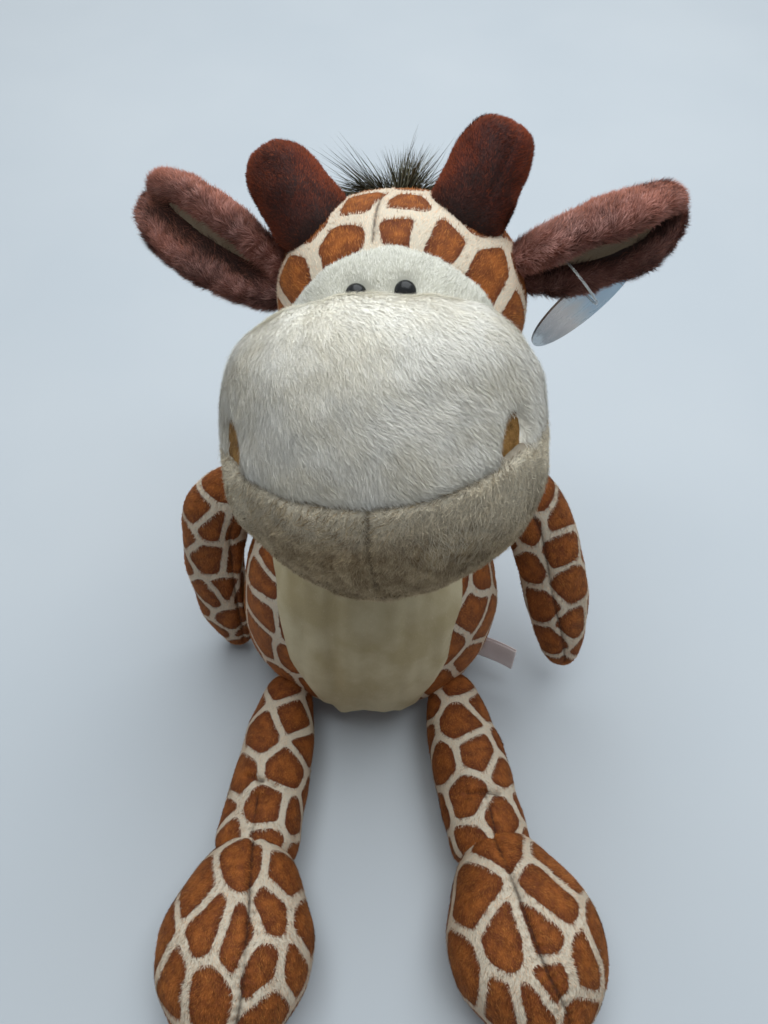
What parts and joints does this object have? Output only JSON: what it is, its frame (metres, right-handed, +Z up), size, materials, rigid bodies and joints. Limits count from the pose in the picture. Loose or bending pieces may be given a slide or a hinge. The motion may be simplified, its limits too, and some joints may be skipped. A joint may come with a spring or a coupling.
{
  "type": "plush giraffe",
  "caption": "Seated plush giraffe with a large rounded muzzle, folded ears, stuffed horns, floppy jointed limbs and oversized feet.",
  "frame": {"origin": "middle of the flat seat, on the surface that the toy sits on", "axes": "+Z up, the toy faces -Y, +X to the right as seen from the front"},
  "size_m": [0.1824, 0.2881, 0.2184],
  "materials": {
    "giraffe_print": "matte",
    "cream_pile": "matte",
    "jaw_pile": "matte",
    "belly_cloth": "matte",
    "horn_pile": "matte",
    "ear_pile": "matte",
    "lining_cloth": "matte",
    "nostril_cloth": "matte",
    "hair": "matte",
    "black_gloss": "gloss",
    "washer_plastic": "satin",
    "pellet_bag": "matte",
    "ribbon": "satin",
    "tag_card": "satin",
    "clear_thread": "gloss"
  },
  "bodies": {
    "body": {"torso": "giraffe_print", "belly_panel": "belly_cloth", "seat_pellet_bag": "pellet_bag", "label": "ribbon"},
    "tail": {"tail": "giraffe_print", "tail_tuft": "hair"},
    "neck": {"neck": "giraffe_print"},
    "head": {"skull": "giraffe_print", "face_panel": "cream_pile", "muzzle": "cream_pile", "jaw": "jaw_pile", "nostril_left": "nostril_cloth", "nostril_right": "nostril_cloth", "eye_left": "black_gloss", "eye_right": "black_gloss", "eye_washer_left": "washer_plastic", "eye_washer_right": "washer_plastic", "horn_left": "horn_pile", "horn_right": "horn_pile", "hair_tuft": "hair"},
    "ear_left": {"ear_left": "ear_pile", "ear_lining_left": "lining_cloth"},
    "ear_right": {"ear_right": "ear_pile", "ear_lining_right": "lining_cloth", "tag_loop": "clear_thread"},
    "swing_tag": {"swing_tag": "tag_card"},
    "arm_left": {"arm_left": "giraffe_print"},
    "arm_right": {"arm_right": "giraffe_print"},
    "leg_left": {"leg_left": "giraffe_print"},
    "leg_right": {"leg_right": "giraffe_print"},
    "foot_left": {"foot_left": "giraffe_print"},
    "foot_right": {"foot_right": "giraffe_print"}
  },
  "joints": [
    {"name": "neck_nod", "type": "hinge", "parent": "body", "child": "neck", "pos_m": [0.003, 0.014, 0.104], "axis": [1, 0, 0], "range_deg": [-18, 18], "stiffness_Nm_per_rad": 1.2},
    {"name": "head_turn", "type": "hinge", "parent": "neck", "child": "head", "pos_m": [0.003, 0.014, 0.104], "axis": [0, 0, 1], "range_deg": [-35, 35], "stiffness_Nm_per_rad": 0.4},
    {"name": "ear_left_flap", "type": "hinge", "parent": "head", "child": "ear_left", "pos_m": [-0.02474, 0.05091, 0.1644], "axis": [0.1736, 0.659, -0.7319], "range_deg": [-25, 25], "stiffness_Nm_per_rad": 0.05},
    {"name": "ear_right_flap", "type": "hinge", "parent": "head", "child": "ear_right", "pos_m": [0.04757, 0.04476, 0.17602], "axis": [0.1736, 0.659, -0.7319], "range_deg": [-25, 25], "stiffness_Nm_per_rad": 0.05},
    {"name": "tag_swing", "type": "hinge", "parent": "ear_right", "child": "swing_tag", "pos_m": [0.07319, 0.05199, 0.16548], "axis": [0.7599, 0.383, 0.5252], "range_deg": [-20, 0]},
    {"name": "shoulder_left", "type": "hinge", "parent": "body", "child": "arm_left", "pos_m": [-0.042, 0.019, 0.094], "axis": [-1, 0, 0], "range_deg": [-55, 75], "stiffness_Nm_per_rad": 0.06},
    {"name": "shoulder_right", "type": "hinge", "parent": "body", "child": "arm_right", "pos_m": [0.042, 0.019, 0.094], "axis": [-1, 0, 0], "range_deg": [-55, 75], "stiffness_Nm_per_rad": 0.06},
    {"name": "hip_left", "type": "hinge", "parent": "body", "child": "leg_left", "pos_m": [-0.0345, -0.032, 0.015], "axis": [1, 0, 0], "range_deg": [-50, 45], "stiffness_Nm_per_rad": 0.12},
    {"name": "hip_right", "type": "hinge", "parent": "body", "child": "leg_right", "pos_m": [0.0345, -0.032, 0.015], "axis": [1, 0, 0], "range_deg": [-50, 45], "stiffness_Nm_per_rad": 0.12},
    {"name": "ankle_left", "type": "hinge", "parent": "leg_left", "child": "foot_left", "pos_m": [-0.04424, -0.10132, 0.015], "axis": [1, 0, 0], "range_deg": [-30, 30], "stiffness_Nm_per_rad": 0.08},
    {"name": "ankle_right", "type": "hinge", "parent": "leg_right", "child": "foot_right", "pos_m": [0.04846, -0.1006, 0.015], "axis": [1, 0, 0], "range_deg": [-30, 30], "stiffness_Nm_per_rad": 0.08},
    {"name": "tail_lift", "type": "hinge", "parent": "body", "child": "tail", "pos_m": [0, 0.044, 0.04], "axis": [1, 0, 0], "range_deg": [-10, 60], "stiffness_Nm_per_rad": 0.012}
  ]
}
